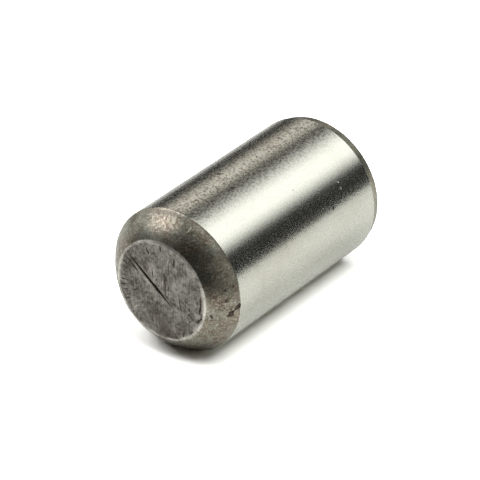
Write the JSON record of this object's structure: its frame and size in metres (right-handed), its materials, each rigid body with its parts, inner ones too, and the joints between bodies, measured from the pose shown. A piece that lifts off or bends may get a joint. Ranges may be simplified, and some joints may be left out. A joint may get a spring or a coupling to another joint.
{
  "type": "dowel pin",
  "caption": "Hardened ground steel dowel pin with a crowned end, a flat end face and a lead chamfer at the other end.",
  "frame": {"origin": "centre of the lead end's flat face, on the pin's axis", "axes": "+Z along the pin's axis, from the lead end up to the crowned end; +X and +Y are placed by the gouge across the crown face, which runs 39 degrees below +X"},
  "size_m": [0.0112, 0.0112, 0.0191],
  "materials": {
    "hardened_steel": "ground bright body, dark heat-treated ends, worn and scratched crown face"
  },
  "bodies": {
    "root": {"dowel_pin": "hardened_steel"}
  },
  "joints": []
}
